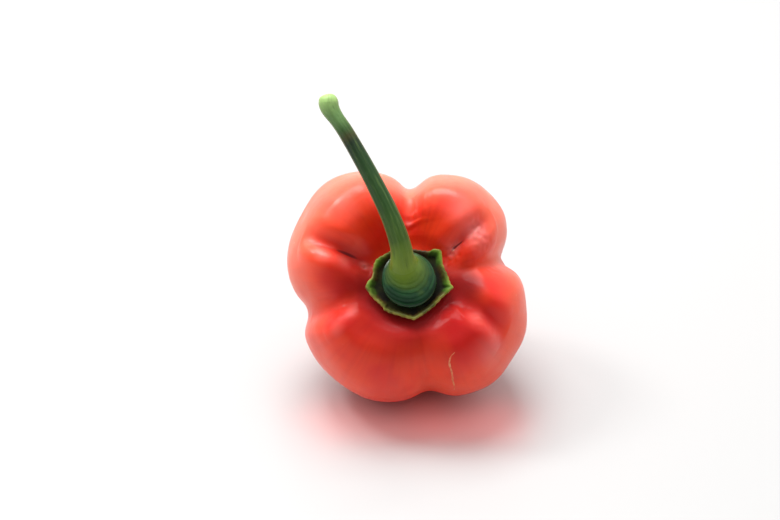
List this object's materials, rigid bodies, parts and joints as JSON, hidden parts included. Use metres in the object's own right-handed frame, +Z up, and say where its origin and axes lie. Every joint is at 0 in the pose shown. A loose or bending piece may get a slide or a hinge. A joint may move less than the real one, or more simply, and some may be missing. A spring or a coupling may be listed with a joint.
{
  "type": "chilli pepper",
  "caption": "Squat, lobed red chilli pepper of the bonnet kind with a small toothed green calyx and a curved green stem, lying on its flank on a small flat.",
  "frame": {"origin": "middle of the whole object's box in X and Y, on the level surface that the pod rests on", "axes": "+Z up as the pepper lies; the calyx faces -Y and up, the blossom tip points to +Y, and the stem leans to -X"},
  "size_m": [0.0408, 0.0384, 0.0542],
  "materials": {
    "pod_skin": "waxy gloss, orange red with crimson shade",
    "calyx_green": "satin, yellow green rim with dark edges",
    "stem_green": "satin, dark to light green with brown marks"
  },
  "bodies": {
    "root": {"pod": "pod_skin", "calyx": "calyx_green", "stem": "stem_green"}
  },
  "joints": []
}
